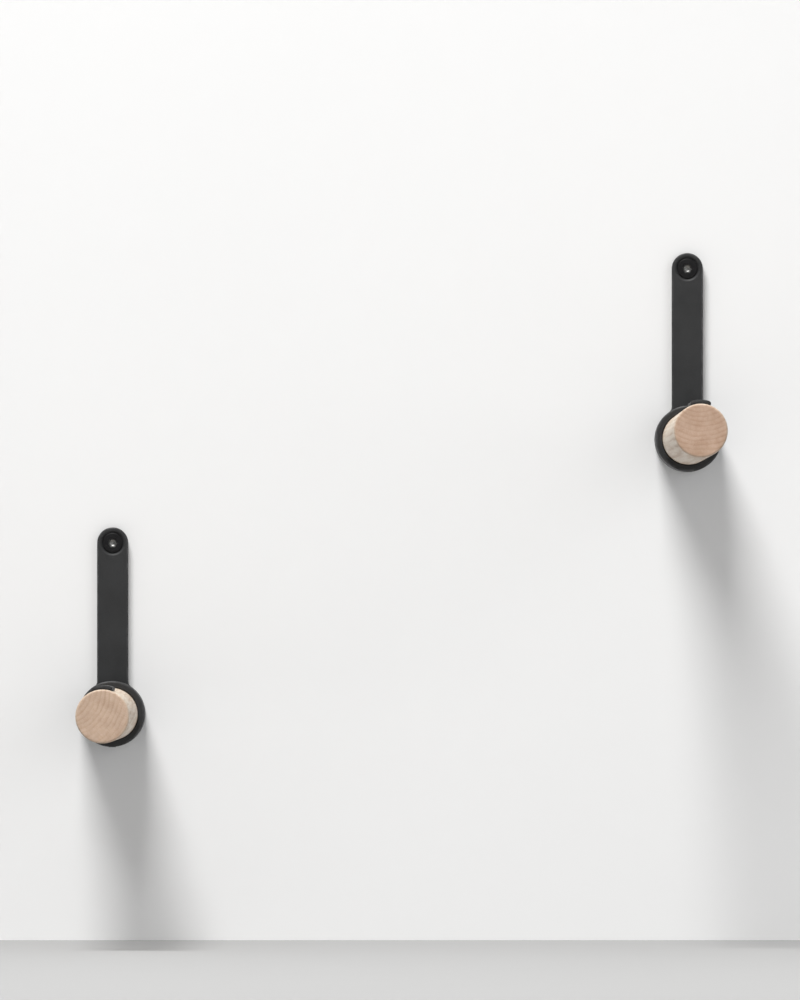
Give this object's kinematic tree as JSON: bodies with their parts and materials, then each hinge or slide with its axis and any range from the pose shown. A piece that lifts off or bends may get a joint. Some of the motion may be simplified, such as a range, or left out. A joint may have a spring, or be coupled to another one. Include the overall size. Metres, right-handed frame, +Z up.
{
  "type": "bicycle wall rack",
  "caption": "Wall rack for hanging a bicycle by its frame: two steel wall arms at staggered heights, each with a round wooden peg, a rubber pad on its top and countersunk wall screws.",
  "frame": {"origin": "on the wall's face, midway between the two socket axes", "axes": "+Z up, +X to the right as seen from the room, +Y into the wall; the pegs stand out towards -Y"},
  "size_m": [0.371, 0.4507, 0.2862],
  "materials": {
    "powder_coat": "matt charcoal powder coat",
    "wood": "sanded and oiled light hardwood",
    "rubber": "matt black rubber",
    "black_steel": "black phosphated steel, satin",
    "nylon": "moulded grey nylon"
  },
  "bodies": {
    "root": {"left_wall_plate": "powder_coat", "left_socket_tube": "powder_coat", "left_peg": "wood", "left_frame_pad": "rubber", "left_grub_screw": "black_steel", "left_upper_screw": "black_steel", "left_lower_screw": "black_steel", "left_upper_wall_plug": "nylon", "left_lower_wall_plug": "nylon", "right_wall_plate": "powder_coat", "right_socket_tube": "powder_coat", "right_peg": "wood", "right_frame_pad": "rubber", "right_grub_screw": "black_steel", "right_upper_screw": "black_steel", "right_lower_screw": "black_steel", "right_upper_wall_plug": "nylon", "right_lower_wall_plug": "nylon"}
  },
  "joints": []
}
